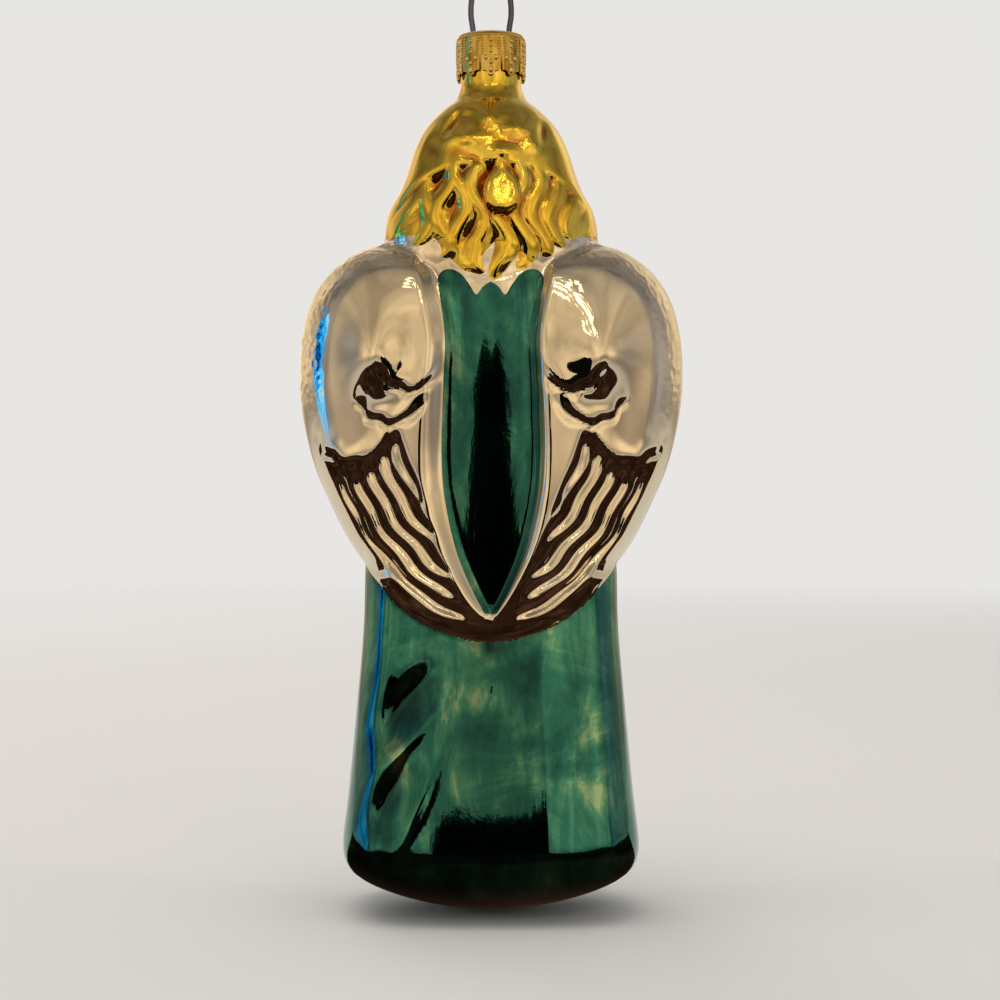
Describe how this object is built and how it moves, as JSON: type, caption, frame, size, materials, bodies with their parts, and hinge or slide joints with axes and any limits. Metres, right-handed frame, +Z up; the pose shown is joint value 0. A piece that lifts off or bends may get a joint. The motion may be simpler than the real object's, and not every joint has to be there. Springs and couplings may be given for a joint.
{
  "type": "angel ornament",
  "caption": "Mould-blown silvered glass angel with feathered wings, gold hair and a green robe, hung from a crown cap with a wire loop.",
  "frame": {"origin": "inside top of the wire loop, the point that the ornament hangs from", "axes": "+Z up along the neck, -Y the way the angel faces, X across the wings"},
  "size_m": [0.0598, 0.0355, 0.1477],
  "materials": {
    "silvered_glass": "clear glass over a silver mirror, champagne silver",
    "silver": "silver mirror coat",
    "gold_lacquer": "clear gold lacquer over silvered glass",
    "green_lacquer": "brushed clear green lacquer over silvered glass",
    "skin_enamel": "satin enamel",
    "cap_brass": "stamped, bright",
    "wire_steel": "drawn wire, dark bright"
  },
  "bodies": {
    "figure": {"glass_body": "silvered_glass", "silver_lining": "silver", "hair_lacquer": "gold_lacquer", "robe_lacquer": "green_lacquer", "spine_lacquer": "green_lacquer", "face_enamel": "skin_enamel", "hands_enamel": "skin_enamel"},
    "cap": {"crown_cap": "cap_brass"},
    "loop": {"wire_loop": "wire_steel"}
  },
  "joints": [
    {"name": "cap_lift", "type": "slide", "parent": "figure", "child": "cap", "axis": [0, 0, 1], "range_m": [0, 0.026]},
    {"name": "loop_draw", "type": "slide", "parent": "cap", "child": "loop", "axis": [0, 0, 1], "range_m": [0, 0.02]}
  ]
}
